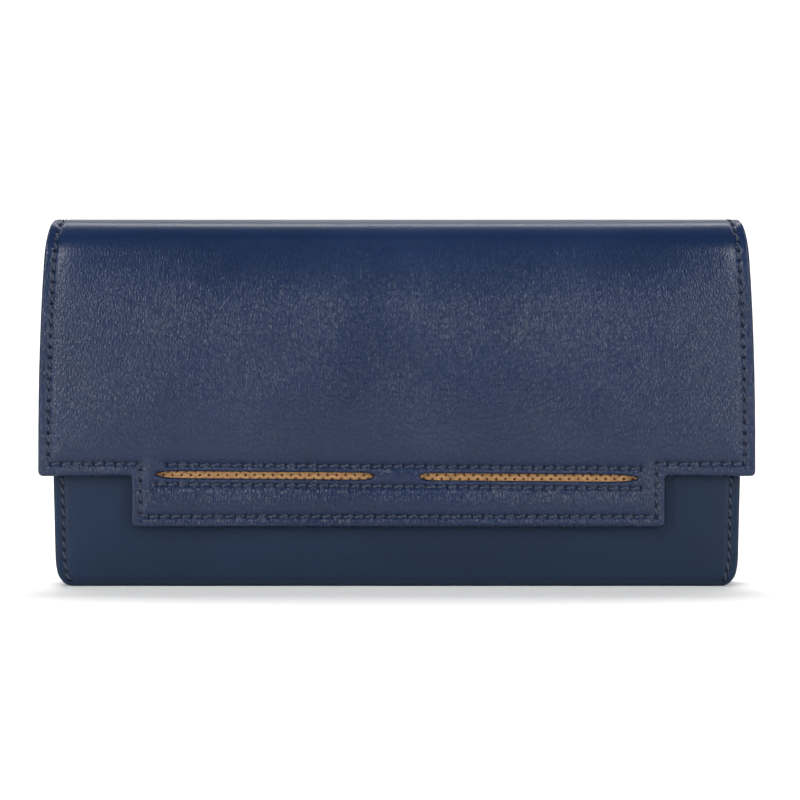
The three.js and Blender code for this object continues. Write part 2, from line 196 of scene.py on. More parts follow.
def leather(name, deep, light, grain=1.0, rough=0.42, gloss=0.26):
    """Coated leather: long pebbles under 1 mm wide with creases between them, and slow changes of tone. The
    colour also carries painted shade in the creases, seam grooves and needle holes, and a painted highlight
    on the pebbles' tops.
    """
    n = Nodes(name)
    flat, edge, groove = n.attribute("flat"), n.attribute("edge", "Fac"), n.attribute("groove", "Fac")
    wander = n.scaled(n.noise(flat, 700.0, 2.0, output="Color"), 0.0007)
    stretched = n.scaled(n.added(flat, wander), 1.0, 0.5, 1.0)
    pebble = n.span(n.cells(stretched, 1300.0), 0.0, 0.3)
    small = n.noise(n.scaled(flat, 1.0, 0.5, 1.0), 2300.0, 3.0, 0.6)
    patch, broad = n.noise(flat, 26.0, 3.0), n.noise(flat, 9.0, 2.0, 0.4)
    strength = n.span(n.noise(flat, 30.0, 2.0), 0.36, 0.6, 0.75, 1.0)
    down = n.math("ABSOLUTE", n.new("SeparateXYZ", (flat,), 1))
    strength = n.math("MULTIPLY", strength, n.span(down, 0.012, 0.034, 0.12, 1.0))
    height = n.math("MULTIPLY", n.math("ADD", n.math("MULTIPLY", pebble, 0.7), small), strength)
    # Painted shade for the creases, seam grooves and needle holes; the same colour is also the real edge
    # paint along the cut edges.
    shade_and_edge_paint = tuple(0.35 * c for c in deep)
    colour = n.mix(n.span(patch, 0.3, 0.7), deep, light)
    colour = n.mix(n.span(broad, 0.6, 0.4, 0.0, 0.4), colour, deep)
    # Painted shade: darker in the creases between the pebbles.
    colour = n.mix(n.span(pebble, 0.3, 0.0, 0.0, 0.35), colour, shade_and_edge_paint)
    # Painted highlight: the pebbles' tops are lighter, most where the grain is strongest.
    painted_pebble_highlight = n.math("MULTIPLY", n.span(height, 0.75, 1.15, 0.0, 0.5 * grain), strength)
    colour = n.mix(painted_pebble_highlight, colour, tuple(0.62 * c + 0.018 for c in light))
    # Painted shade: darker in the seam grooves and needle holes.
    colour = n.mix(n.span(groove, 0.1, 0.9, 0.0, 0.9), colour, shade_and_edge_paint)
    colour = n.mix(n.span(edge, 0.5, 0.0, 0.0, 0.5), colour, shade_and_edge_paint)
    roughness = n.span(patch, 0.3, 0.7, rough - 0.02, rough + 0.03)
    return n.finish(
        Base_Color=colour,
        Roughness=n.math("ADD", roughness, n.math("MULTIPLY", small, 0.08)),
        Normal=n.bump(height, 0.00013 * grain),
        Specular_IOR_Level=gloss,
    )


def cloth(name, deep, light, threads=2600.0, rough=0.85, twill=True):
    """Closely woven cloth: diagonal ribs of a twill, or plain threads, with a little sheen."""
    n = Nodes(name)
    flat = n.attribute("flat")
    parts = n.new("SeparateXYZ", (flat,)).node
    x, y = parts.outputs[0], parts.outputs[1]
    across = n.math("ADD", x, y) if twill else x
    ribs = n.math("SINE", n.math("MULTIPLY", across, threads * 2.2))
    weft = n.math("SINE", n.math("MULTIPLY", y, threads * 3.1))
    height = n.math("ADD", n.math("MULTIPLY", ribs, 0.6), n.math("MULTIPLY", weft, 0.3))
    fuzz = n.noise(flat, 3000.0, 3.0, 0.6)
    tone = n.noise(flat, 40.0, 3.0)
    colour = n.mix(n.span(n.math("ADD", n.math("MULTIPLY", ribs, 0.25), tone), 0.2, 0.8), deep, light)
    return n.finish(
        Base_Color=colour,
        Roughness=n.span(fuzz, 0.2, 0.8, rough - 0.1, rough + 0.08),
        Normal=n.bump(n.math("ADD", height, fuzz), 0.00005, 0.6),
        Sheen_Weight=0.25,
        Specular_IOR_Level=0.25,
    )


def straw(name):
    """Raffia strand: tan with fine fibres along it and darker stretches."""
    n = Nodes(name)
    along = n.attribute("strand")
    fibres = n.noise(n.scaled(along, 0.22, 5.0, 1.0), 900.0, 3.0, 0.7)
    tone = n.noise(n.attribute("flat"), 260.0, 2.0)
    colour = n.mix(n.span(fibres, 0.3, 0.72), (0.33, 0.16, 0.058), (0.64, 0.38, 0.165))
    colour = n.mix(n.span(tone, 0.55, 0.75, 0.0, 0.5), colour, (0.55, 0.24, 0.09))
    return n.finish(
        Base_Color=colour,
        Roughness=n.span(fibres, 0.2, 0.8, 0.45, 0.65),
        Normal=n.bump(fibres, 0.00006, 0.7),
        Specular_IOR_Level=0.4,
    )


def thread_material(name, deep, light):
    """Waxed polyester thread with its plies showing along it."""
    n = Nodes(name)
    along = n.attribute("strand")
    parts = n.new("SeparateXYZ", (along,)).node
    forwards = n.math("MULTIPLY", parts.outputs[0], 9000.0)
    round_it = n.math("MULTIPLY", parts.outputs[1], 12.0)
    plies = n.math("SINE", n.math("ADD", forwards, round_it))
    return n.finish(
        Base_Color=n.mix(n.span(plies, -1.0, 1.0), deep, light),
        Roughness=n.span(plies, -1.0, 1.0, 0.55, 0.36),
        Normal=n.bump(plies, 0.00004, 0.6),
        Sheen_Weight=0.15,
    )


def metal(name, colour, rough=0.26):
    """Plated metal with fine rubbing marks and slow changes of gloss."""
    n = Nodes(name)
    place = n.object_place()
    marks = n.noise(n.scaled(place, 1.0, 0.12, 1.0), 5200.0, 3.0, 0.7)
    cloud = n.noise(place, 420.0, 3.0)
    worn = tuple(min(1.0, c * 1.15) for c in colour)
    return n.finish(
        Base_Color=n.mix(n.span(cloud, 0.35, 0.7), colour, worn),
        Metallic=1.0,
        Roughness=n.span(marks, 0.3, 0.7, rough - 0.06, rough + 0.08),
        Normal=n.bump(marks, 0.00001, 0.35),
    )


def board(name):
    """Grey pressed board with short fibres."""
    n = Nodes(name)
    place = n.object_place()
    fibres = n.noise(n.scaled(place, 1.0, 1.0, 4.0), 1500.0, 4.0, 0.7)
    return n.finish(
        Base_Color=n.mix(n.span(fibres, 0.3, 0.7), (0.2, 0.19, 0.165), (0.33, 0.31, 0.27)),
        Roughness=n.span(fibres, 0.2, 0.8, 0.85, 0.97),
        Normal=n.bump(fibres, 0.00008, 0.6),
    )


def nylon(name):
    """Moulded zip coil, smooth with a slight waviness."""
    n = Nodes(name)
    place = n.object_place()
    cloud = n.noise(place, 1800.0, 2.0)
    return n.finish(
        Base_Color=n.mix(n.span(cloud, 0.3, 0.7), (0.016, 0.025, 0.07), (0.03, 0.046, 0.12)),
        Roughness=n.span(cloud, 0.2, 0.8, 0.32, 0.45),
        Normal=n.bump(cloud, 0.00003, 0.4),
    )


NAVY = leather("navy_leather", (0.0056, 0.0155, 0.049), (0.0078, 0.0208, 0.064), rough=0.26, gloss=0.34)
# Painted shade: the body panels' leather is a greyer, duller copy of the flap's navy leather, for the shade
# that falls on them below the flap.
SHADED_BODY_NAVY = leather("shaded_body_leather", (0.0066, 0.0168, 0.04), (0.0092, 0.023, 0.054), 0.3, 0.48, 0.2)
SLOT_LEATHER = leather("slot_leather", (0.016, 0.027, 0.08), (0.022, 0.037, 0.1), grain=0.6, rough=0.5)
LINING = cloth("lining_cloth", (0.011, 0.017, 0.048), (0.022, 0.033, 0.085))
ZIP_CLOTH = cloth("zip_cloth", (0.01, 0.015, 0.04), (0.018, 0.026, 0.066), 3400.0, twill=False)
STRAW = straw("woven_straw")
STRIP_CLOTH = cloth("strip_backing_cloth", (0.12, 0.045, 0.014), (0.2, 0.085, 0.028), 3000.0, twill=False)
THREAD = thread_material("navy_thread", (0.006, 0.013, 0.036), (0.026, 0.045, 0.1))
GOLD = metal("gold_metal", (0.72, 0.47, 0.2))
STEEL = metal("magnet_steel", (0.46, 0.48, 0.5), 0.34)
BOARD = board("grey_board")
NYLON = nylon("zip_nylon")


# ---- mesh helpers
def new_object(name, vertices_mm, faces, material):
    mesh = bpy.data.meshes.new(name)
    mesh.from_pydata([tuple(v) for v in np.asarray(vertices_mm) * MM], [], faces)
    mesh.materials.append(material)
    mesh.polygons.foreach_set("use_smooth", [True] * len(mesh.polygons))
    mesh.update()
    made = bpy.data.objects.new(name, mesh)
    bpy.context.scene.collection.objects.link(made)
    return made


def set_vectors(made, name, values):
    layer = made.data.attributes.new(name, "FLOAT_VECTOR", "POINT")
    layer.data.foreach_set("vector", np.asarray(values, np.float32).reshape(-1))


def set_numbers(made, name, values):
    layer = made.data.attributes.new(name, "FLOAT", "POINT")
    layer.data.foreach_set("value", np.asarray(values, np.float32))


def distance_to(points, starts, ends):
    """Each point's distance to the nearest of these segments."""
    best = np.full(len(points), FAR)
    for a, b in zip(starts, ends):
        d = b - a
        t = np.clip(((points - a) @ d) / max(d @ d, 1e-12), 0, 1)
        best = np.minimum(best, np.linalg.norm(points - a - t[:, None] * d, axis=1))
    return best


def least(points, distances):
    """Each point's least distance among several lists of them. It is FAR where there are none."""
    return np.minimum.reduce([np.full(len(points), FAR), *distances])


def loop_segments(loop):
    return list(zip(loop, np.roll(loop, -1, axis=0)))


def inside(points, loop):
    """Which points lie inside a closed loop."""
    x, y = points[:, 0], points[:, 1]
    found = np.zeros(len(points), bool)
    for (x0, y0), (x1, y1) in loop_segments(loop):
        if y0 == y1:
            continue
        crosses = (y0 > y) != (y1 > y)
        found ^= crosses & (x < (x1 - x0) * (y - y0) / (y1 - y0) + x0)
    return found


def unit(vectors):
    return vectors / np.linalg.norm(vectors, axis=-1)[..., None]


def tube_points(centre, one, other, radius, sides, squash=1.0):
    """Rings of points round a line, in the plane of two directions. squash flattens the second one."""
    turns = 2 * math.pi * np.arange(sides) / sides
    rings = [centre + radius * (math.cos(t) * one + squash * math.sin(t) * other) for t in turns]
    return np.stack(rings, 1).reshape(-1, 3)


def tube_faces(first, rings, sides):
    """The faces of a tube and of the caps at its ends. first is the number of its first vertex."""
    faces = []
    last = first + (rings - 1) * sides
    for start in range(first, last, sides):
        for side in range(sides):
            p, q = start + side, start + (side + 1) % sides
            faces.append((p, q, q + sides, p + sides))
    faces.append(tuple(range(first, first + sides))[::-1])
    faces.append(tuple(range(last, last + sides)))
    return faces


def rounded_loop(corners, step=2.0, turn_steps=5):
    """A closed loop through corners given as (x, v, radius), anticlockwise, with points along its sides."""
    count, points, turns = len(corners), [], []
    for index, (x, v, radius) in enumerate(corners):
        here = np.array([x, v])
        last = np.array(corners[index - 1][:2])
        following = np.array(corners[(index + 1) % count][:2])
        enter = here + radius * (last - here) / np.linalg.norm(last - here)
        leave = here + radius * (following - here) / np.linalg.norm(following - here)
        t = np.linspace(0, 1, turn_steps if radius else 1)[:, None]
        turns.append((1 - t) ** 2 * enter + 2 * t * (1 - t) * here + t**2 * leave if radius else here[None])
    for index, turn in enumerate(turns):
        following = turns[(index + 1) % count][0]
        points += list(turn)
        pieces = int(np.linalg.norm(following - turn[-1]) / step) + 1
        points += [turn[-1] + (following - turn[-1]) * k / pieces for k in range(1, pieces)]
    return np.array(points)


def rectangle(left, right, low, high, corner=1.0, high_corner=None):
    """A rounded rectangle. high_corner is the radius of the two corners at high, where it is another one."""
    top = corner if high_corner is None else high_corner
    return rounded_loop([(left, low, corner), (right, low, corner), (right, high, top), (left, high, top)])


def lines(low, high, step, *bands):
    """Grid lines from low to high. Each band is (from, to, step) and is closer."""
    found = list(np.linspace(low, high, int((high - low) / step) + 2))
    for start, end, close in bands:
        found = [f for f in found if not start - close / 2 < f < end + close / 2]
        found += list(np.arange(start, end + 1e-6, close))
    return np.unique(np.round([f for f in found if low <= f <= high], 4))


def grid_points(xs, vs):
    return np.stack(np.meshgrid(xs, vs), -1).reshape(-1, 2)


# ---- sheets
class Seam:
    """A row of stitches along a polyline, drawn in X and v. Its pitch is evened out over its length."""

    def __init__(self, points, pitch=STITCH_PITCH, lead=0.5):
        self.points = np.array(points, float)
        steps = np.linalg.norm(np.diff(self.points, axis=0), axis=1)
        along = np.concatenate([[0], np.cumsum(steps)])
        count = max(1, round(along[-1] / pitch - lead))
        marks = np.linspace(0, along[-1], count + 1)
        self.holes = np.stack([np.interp(marks, along, self.points[:, k]) for k in (0, 1)], 1)

    def segments(self):
        return self.points[:-1], self.points[1:]


class Sheet:
    """A flat pattern of leather or cloth: its outline, cut-outs and seams.

    open_at picks the sides of the outline where another piece goes on, so that they aren't rounded.
    """

    def __init__(self, outline, cuts=(), seams=(), open_at=None):
        self.outline = outline
        self.cuts = list(cuts)
        self.seams = list(seams)
        edges = [s for s in loop_segments(outline) if open_at is None or not open_at(s)]
        self.edge_starts = np.array([s[0] for s in edges])
        self.edge_ends = np.array([s[1] for s in edges])

    def edge_distance(self, points):
        return distance_to(points, self.edge_starts, self.edge_ends)

    def cut_distance(self, points):
        return least(points, [distance_to(points, c, np.roll(c, -1, axis=0)) for c in self.cuts])

    def seam_distance(self, points):
        return least(points, [distance_to(points, *seam.segments()) for seam in self.seams])

    def hole_distance(self, points):
        """In parts of 64 holes, which keeps the memory it takes small."""
        holes = [s.holes[k : k + 64] for s in self.seams for k in range(0, len(s.holes), 64)]
        return least(points, [np.linalg.norm(points[:, None] - h[None], axis=2).min(1) for h in holes])

    def around_holes(self):
        """Extra points that give each needle hole its own small dimple."""
        found = []
        for seam in self.seams:
            for ring, count in ((0.0, 1), (0.28, 6), (0.62, 8)):
                for k in range(count):
                    turn = 2 * math.pi * k / count
                    found.append(seam.holes + ring * np.array([math.cos(turn), math.sin(turn)]))
        return np.concatenate(found) if found else np.zeros((0, 2))

    def around_cuts(self):
        found = []
        for cut in self.cuts:
            middle = cut.mean(0)
            for grow in (0.12, 0.3, 0.6, 1.1):
                away = cut - middle
                away = away / np.array([abs(away[:, 0]).max(), abs(away[:, 1]).max()])
                found.append(cut + grow * away)
        return np.concatenate(found) if found else np.zeros((0, 2))

    def triangles(self, grid):
        """Points and triangles that fill the outline, with the outline's and the cuts' points first."""
        loops = [self.outline, *self.cuts]
        extra = np.concatenate([self.around_holes(), self.around_cuts()])
        if len(extra):
            crowded = distance_points(grid, extra) < 0.34
            grid = np.concatenate([grid[~crowded], extra])
        grid = grid[inside(grid, self.outline)]
        for cut in self.cuts:
            grid = grid[~inside(grid, cut)]
        every_edge = np.concatenate(loops), np.concatenate([np.roll(c, -1, axis=0) for c in loops])
        grid = grid[distance_to(grid, *every_edge) > 0.05]
        grid = np.unique(np.round(grid, 4), axis=0)
        points, edges = np.concatenate([*loops, grid]), []
        first = 0
        for loop in loops:
            edges += [(first + k, first + (k + 1) % len(loop)) for k in range(len(loop))]
            first += len(loop)
        made, _, faces, *_ = delaunay_2d_cdt([tuple(p) for p in points], edges, [], 0, 1e-5, False)
        made, faces = np.array([tuple(p) for p in made]), np.array([tuple(f) for f in faces])
        centres = made[faces].mean(1)
        keep = inside(centres, self.outline)
        for cut in self.cuts:
            keep &= ~inside(centres, cut)
        faces = faces[keep]
        a, b, c = (made[faces[:, k]] for k in range(3))
        turn = (b - a)[:, 0] * (c - a)[:, 1] - (b - a)[:, 1] * (c - a)[:, 0]
        faces[turn < 0] = faces[turn < 0][:, ::-1]
        return made, faces[np.abs(turn) > 1e-7]


def distance_points(points, others):
    """Each point's distance to the nearest of the others, by cells, so that it stays quick."""
    best = np.full(len(points), FAR)
    for start in range(0, len(others), 256):
        part = others[start : start + 256]
        near = (points[:, 0] > part[:, 0].min() - 2) & (points[:, 0] < part[:, 0].max() + 2)
        near &= (points[:, 1] > part[:, 1].min() - 2) & (points[:, 1] < part[:, 1].max() + 2)
        if near.any():
            gap = np.linalg.norm(points[near][:, None] - part[None], axis=2).min(1)
            best[near] = np.minimum(best[near], gap)
    return best


def dent(distance, depth, width):
    """How deep the surface lies at this distance from a seam or a needle hole."""
    return depth * np.exp(-((distance / width) ** 2))


def edge_round(distance, radius):
    """How far a surface drops towards an edge that is rounded with this radius."""
    t = np.clip(1 - distance / radius, 0, 1)
    return radius * (1 - np.sqrt(1 - t * t))


def build_sheet(name, sheet, grid, place, top, bottom, material, open_at=None):
    """A closed sheet. top and bottom give the height of its two faces above the path, in millimetres."""
    flat, faces = sheet.triangles(grid)
    edge, cut = sheet.edge_distance(flat), sheet.cut_distance(flat)
    seam, hole = sheet.seam_distance(flat), sheet.hole_distance(flat)
    position, normal = place(flat[:, 0], flat[:, 1])
    facts = {"edge": edge, "cut": cut, "seam": seam, "hole": hole}
    upper = position + normal * top(flat, **facts)[:, None]
    lower = position + normal * bottom(flat, **facts)[:, None]
    count = len(flat)
    directed = np.concatenate([faces[:, [0, 1]], faces[:, [1, 2]], faces[:, [2, 0]]])
    shared = np.sort(directed, axis=1)
    _, first, uses = np.unique(shared, axis=0, return_index=True, return_counts=True)
    rim = directed[first[uses == 1]]
    walls = [(a, a + count, b + count, b) for a, b in rim.tolist()]
    shell = [tuple(f) for f in faces.tolist()]
    shell += [(a + count, c + count, b + count) for a, b, c in faces.tolist()]
    made = new_object(name, np.concatenate([upper, lower]), shell + walls, material)
    tape = np.concatenate([flat, flat]) * MM
    under = np.concatenate([np.zeros(count), np.full(count, 0.01)])
    set_vectors(made, "flat", np.column_stack([tape, under]))
    set_numbers(made, "edge", np.tile(np.minimum(edge, cut), 2))
    # The groove mask says where shade is painted into the seam grooves and needle holes.
    dip = 1.3 * np.exp(-((hole / 0.5) ** 4)) + dent(seam, 0.4, 0.4)
    set_numbers(made, "groove", np.concatenate([np.minimum(dip, 1.0), np.zeros(count)]))
    if open_at is not None:
        sharpen(made, lambda i, j: open_at((flat[i % count], flat[j % count])))
    return made


def sharpen(made, test):
    """Marks the edges that the test picks as sharp, so that a joined cap doesn't bend the shading."""
    layer = made.data.attributes.new("sharp_edge", "BOOLEAN", "EDGE")
    pairs = np.zeros(len(made.data.edges) * 2, np.int32)
    made.data.edges.foreach_get("vertices", pairs)
    layer.data.foreach_set("value", [bool(test(i, j)) for i, j in pairs.reshape(-1, 2)])


def stitches(name, seams, place, height=-0.12, width=0.29, sink=0.5):
    """The threads of the seams: each comes up out of one needle hole and goes down into the next.

    height is the thread's middle above the path, and sink is how far its ends go down.
    """
    sides, rings = 7, 9
    vertices, faces, strand = [], [], []
    for seam in seams:
        for a, b in zip(seam.holes[:-1], seam.holes[1:]):
            run = b - a
            length = np.linalg.norm(run)
            across = np.array([-run[1], run[0]]) / length
            t = np.linspace(THREAD_TRIM / length, 1 - THREAD_TRIM / length, rings)
            swing = (t - 0.5) * length * THREAD_SLANT
            flat = a + t[:, None] * run + swing[:, None] * across
            centre, normal = place(flat[:, 0], flat[:, 1])
            arc = np.sin(np.pi * np.clip((t - t[0]) / (t[-1] - t[0]), 0, 1)) ** 0.55
            centre = centre + normal * (height - sink + (sink + 0.04) * arc)[:, None]
            ahead = unit(np.gradient(centre, axis=0))
            beside = unit(np.cross(normal, ahead))
            swell = width * (0.72 + 0.28 * np.sin(np.pi * np.linspace(0, 1, rings)))[:, None]
            faces += tube_faces(len(vertices), rings, sides)
            vertices += list(tube_points(centre, beside, np.cross(ahead, beside), swell, sides, 0.85))
            turns = [2 * math.pi * side / sides / 6.0 for side in range(sides)]
            strand += [(share * length * MM, turn, 0.0) for share in t for turn in turns]
    made = new_object(name, vertices, faces, THREAD)
    set_vectors(made, "strand", strand)
    return made


def declare(made, replaced, body=None, bend=None):
    """Hides the CAD pieces that the piece stands for and hangs it on its body. A piece with a bend is only
    baked where it stands; the bend's bodies and points are not used.
    """
    if replaced:
        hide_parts(*replaced)
    if bend:
        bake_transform(made)
    else:
        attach(made, body)


# ---- paths
def fold_path(x, v, inset=0.0):
    """The flap's path: v is 0 in the middle of the top, grows to the back, and falls to the front.

    inset is how far inside the leather's outer face the path runs.
    """
    side = np.where(v < 0, -1.0, 1.0)
    run = np.abs(v)
    turn = np.clip((run - FLAT) / FOLD_RADIUS, 0, math.pi / 2)
    y = np.minimum(run, FLAT) + FOLD_RADIUS * np.sin(turn)
    z = FOLD_Z + FOLD_RADIUS * np.cos(turn) - np.maximum(run - V_FOLD, 0)
    normal = np.stack([0 * v, side * np.sin(turn), np.cos(turn)], 1)
    narrowing = 1 - TOP_NARROWING / FLAP_HALF * np.maximum(1 + run / V_SHOULDER, 0) ** 2.5
    position = np.stack([x * narrowing, side * y, z], 1)
    return position - normal * inset, normal


def body_half(z):
    """Half the body's width at a height, with the round lower corners."""
    z = np.asarray(z, float)
    low = np.clip(1 - z / CORNER_HEIGHT, 0, 1)
    return BODY_HALF + BODY_FLARE * z / back_high[2] - CORNER_WIDTH * (1 - np.sqrt(1 - low**2))


def wrap_height(v):
    """The height of the body leather at v, which is 0 where the panel starts to turn under."""
    turn = np.clip(-v / BEND, 0, math.pi / 2)
    return np.maximum(v, 0) + BEND * (1 - np.sin(turn))


def wrap_path(side, outer_y):
    """A path down a panel and round under the base. side is -1 for the front and +1 for the back."""

    def path(x, v):
        turn = np.clip(-v / BEND, 0, math.pi / 2)
        under = np.maximum(-v - BEND * math.pi / 2, 0)
        y = outer_y - side * (BEND * (1 - np.cos(turn)) + under)
        normal = np.stack([0 * v, side * np.cos(turn), -np.sin(turn)], 1)
        return np.stack([x, y, wrap_height(v)], 1), normal

    return path


def level_path(middle, z):
    """A path on a level plane at height z. v is 0 where y is middle."""

    def path(x, v):
        up = np.stack([0 * v, 0 * v, 1 + 0 * v], 1)
        return np.stack([x, middle + v, z + 0 * v], 1), up

    return path


# ---- flap and fold
PAD = 1.45  # how far the foam lifts the leather inside the seams
EDGE_R = 0.8
RIM_WIDTH = 1.7
FLAP_RIM = 2.1  # how thick the flap's turned edge is


def waves(points):
    """Slow unevenness of padded leather."""
    x, v = points[:, 0], points[:, 1]
    swell = 0.5 * np.sin(x / 31.0 + 0.6) * np.sin(v / 23.0 + 1.1)
    return swell + 0.5 * np.sin(x / 17.0 - v / 41.0 + 2.0) * np.cos(v / 29.0 - 0.3)


def on_flap(points):
    """The padding thins out over the fold, where the leather is stretched tight."""
    return smooth((np.abs(points[:, 1]) - 3) / 17)


def padded_top(pad, wave, bulge=0.0, calm_zone=on_flap, slope=2.6):
    """The outer face: rounded edges, padding between the seams, and a groove with holes along each seam."""

    def top(points, edge, cut, seam, hole):
        limit = np.minimum(seam, 1.6 * cut + 1.0)
        puff = 1 - np.exp(-((limit / slope) ** 1.12))
        margin = (edge < 3.9) & (seam > edge - 0.6)  # the band outside the seam
        tongue = 1 - 0.5 * smooth((V_SHOULDER + 8 - points[:, 1]) / 8)
        puff = np.where(margin, 0.22 * smooth(seam / 1.4), pad * tongue * puff) * calm_zone(points)
        calm = smooth((np.minimum(seam, edge) - 1) / 18)
        ripple = calm * (wave * waves(points) * calm_zone(points) + bulge * crown(points))
        groove = dent(seam, 0.34, 0.7) + dent(hole, 0.45, 0.45)
        return puff + ripple - groove - edge_round(edge, EDGE_R) - edge_round(cut, 0.5)

    return top


def crown(points):
    """The flap bulges over what the wallet holds, most in its upper middle."""
    along = np.clip((-points[:, 1] - 8) / 80, 0, 1)
    return np.sin(math.pi * along**0.8) * np.clip(1 - np.abs(points[:, 0] / 100) ** 2.5, 0, 1)


def rimmed_bottom(thick, rim):
    """The inner face: deeper along the turned edge, where the leather wraps the layers behind it."""

    def bottom(points, edge, cut, seam, hole):
        deep = thick + (rim - thick) * (1 - smooth((edge - RIM_WIDTH + 0.5) / 0.5))
        return -(deep - edge_round(edge, 0.3))

    return bottom


def drift(x):
    """The strip was sewn in a little lower towards the right."""
    return -0.55 * np.asarray(x) / 67.0


def slit_cut(side):
    """One slit's outline: nearly parallel edges that close to a point at each end."""
    t = np.sin(np.linspace(-math.pi / 2, math.pi / 2, 40))
    x = side * (SLIT_NEAR + SLIT_FAR) / 2 + t * (SLIT_FAR - SLIT_NEAR) / 2
    blunt = np.where(t * side > 0, 13, 28)  # the end near the middle is the blunter one
    half = 0.5 * SLIT_HEIGHT * (1 - np.abs(t) ** blunt) ** 0.8
    v = V_SLIT + drift(x)
    lower = np.stack([x, v - half], 1)
    upper = np.stack([x[1:-1], v[1:-1] + 0.9 * half[1:-1]], 1)[::-1]
    return np.concatenate([lower, upper])


def flap_corners(wide, tongue, shoulder, low, top):
    """The flap's eight corners, down its left side, round the tongue and up its right side."""
    left, right = TONGUE_SHIFT - tongue, TONGUE_SHIFT + tongue
    start = [(-wide, top), (-wide, shoulder), (left, shoulder), (left, low)]
    return start + [(right, low), (right, shoulder), (wide, shoulder), (wide, top)]


def flap_seams():
    front = Seam(flap_corners(FLAP_HALF - 2.9, TONGUE_HALF - 2.5, V_SHOULDER + 3.5, V_TONGUE + 3.0, -0.2))
    x = np.linspace(-67, 68, 12)
    middle = V_SLIT + drift(x)
    upper = Seam(np.stack([np.maximum(x, -64.0), middle + 2.75], 1))
    lower = Seam(np.stack([x, middle - 2.8], 1))
    return [front, upper, lower]


def flap_outline(inset=0.0):
    wide, tongue = FLAP_HALF - inset, TONGUE_HALF - inset
    corners = flap_corners(wide, tongue, V_SHOULDER + inset, V_TONGUE + inset, 0.0)
    radii = (0, 1.5, 0.8, 1.5, 1.5, 0.8, 1.5, 0)
    return rounded_loop([(*corner, radius) for corner, radius in zip(corners, radii)])


def mirrored(*bands):
    """The same bands of grid lines on both sides of zero."""
    return [*bands, *[(-b, -a, step) for a, b, step in bands]]


def edge_bands(edge, inward):
    """Close grid lines at an edge, and from its seam over the slope of the padding."""
    low, high = sorted((edge, edge + inward * 0.85))
    near, far = sorted((edge + inward * 1.1, edge + inward * 8.0))
    return [(low, high, 0.13), (near, far, 0.42)]


REAR_BLEND = ("back_body", "top_fold", (0, 12.9 * MM, 91.0 * MM), (0, 1.2 * MM, 103.0 * MM))
FRONT_BLEND = ("top_fold", "flap", (0, -1.2 * MM, 103.0 * MM), (0, -12.9 * MM, 91.0 * MM))


def at_top(segment):
    return abs(segment[0][1]) < 1e-6 and abs(segment[1][1]) < 1e-6


def build_flap():
    seams = flap_seams()
    cuts = [slit_cut(-1), slit_cut(1)]
    sheet = Sheet(flap_outline(), cuts, seams, at_top)
    x_bands = mirrored(*edge_bands(FLAP_HALF, -1), *edge_bands(TONGUE_HALF, -1))
    xs = lines(-FLAP_HALF, FLAP_HALF, 2.0, *x_bands)
    v_bands = [*edge_bands(V_SHOULDER, 1), *edge_bands(V_TONGUE, 1), (V_SLIT - 4.6, V_SLIT + 4.4, 0.5)]
    vs = lines(V_TONGUE, 0, 1.6, *v_bands)
    cover = build_sheet(
        "flap_cover", sheet, grid_points(xs, vs), fold_path,
        padded_top(PAD, 0.35, 1.6, slope=3.0), rimmed_bottom(LEATHER, FLAP_RIM), NAVY, at_top,
    )
    declare(cover, ["flap_leather"], bend=FRONT_BLEND)
    declare(stitches("flap_stitches", seams, fold_path), None, bend=FRONT_BLEND)


def build_flap_root():
    """The flap's other end: over the back half of the fold and down to its seam on the back panel."""
    low, side = V_ROOT, FLAP_HALF
    outline = rectangle(-side, side, 0, low, 0, 1.5)
    seams = [
        Seam([(-side + 2.9, 0.2), (-side + 2.9, low - 3.2), (side - 2.9, low - 3.2), (side - 2.9, 0.2)]),
        Seam([(-side + 6, low - 10.5), (side - 6, low - 10.5)]),
    ]
    sheet = Sheet(outline, (), seams, at_top)
    xs = lines(-side, side, 2.0, *mirrored(*edge_bands(side, -1)))
    vs = lines(0, low, 1.6, *edge_bands(low, -1), (low - 12, low - 9, 0.5))
    cover = build_sheet(
        "flap_root_cover", sheet, grid_points(xs, vs), fold_path,
        padded_top(0.5, 0.25), rimmed_bottom(LEATHER, 1.25), NAVY, at_top,
    )
    declare(cover, ["flap_root_leather", "fold_leather"], bend=REAR_BLEND)
    declare(stitches("flap_root_stitches", seams, fold_path), None, bend=REAR_BLEND)


# ---- body leather
def wrap_outline(top_v, base_run):
    """A body panel's outline: down one side, round the corner, across under the base and up the other."""
    fold_v = BEND * math.pi / 2
    down = np.concatenate([
        np.arange(top_v, 2.0, -2.0),
        np.linspace(1.6, -fold_v + 0.3, 16),
        [-fold_v, -fold_v - base_run],
    ])
    left = np.stack([-body_half(wrap_height(down)), down], 1)
    right = np.stack([body_half(wrap_height(down)), down], 1)[::-1]
    low = np.arange(left[-1][0] + 2, right[0][0] - 1, 2.0)
    high = np.arange(right[-1][0] - 2, left[0][0] + 1, -2.0)
    bottom = np.stack([low, np.full(len(low), left[-1][1])], 1)
    top = np.stack([high, np.full(len(high), top_v)], 1)
    return np.concatenate([left, bottom, right, top])


def body_seams(top_v):
    down = np.linspace(top_v - 3.0, -2.2, 24)
    half = body_half(wrap_height(down)) - 2.6
    left = np.stack([-half, down], 1)[::-1]
    across = np.stack([np.linspace(-half[0], half[0], 12), np.full(12, top_v - 3.0)], 1)
    right = np.stack([half, down], 1)
    return [Seam(np.concatenate([left, across[1:-1], right]))]


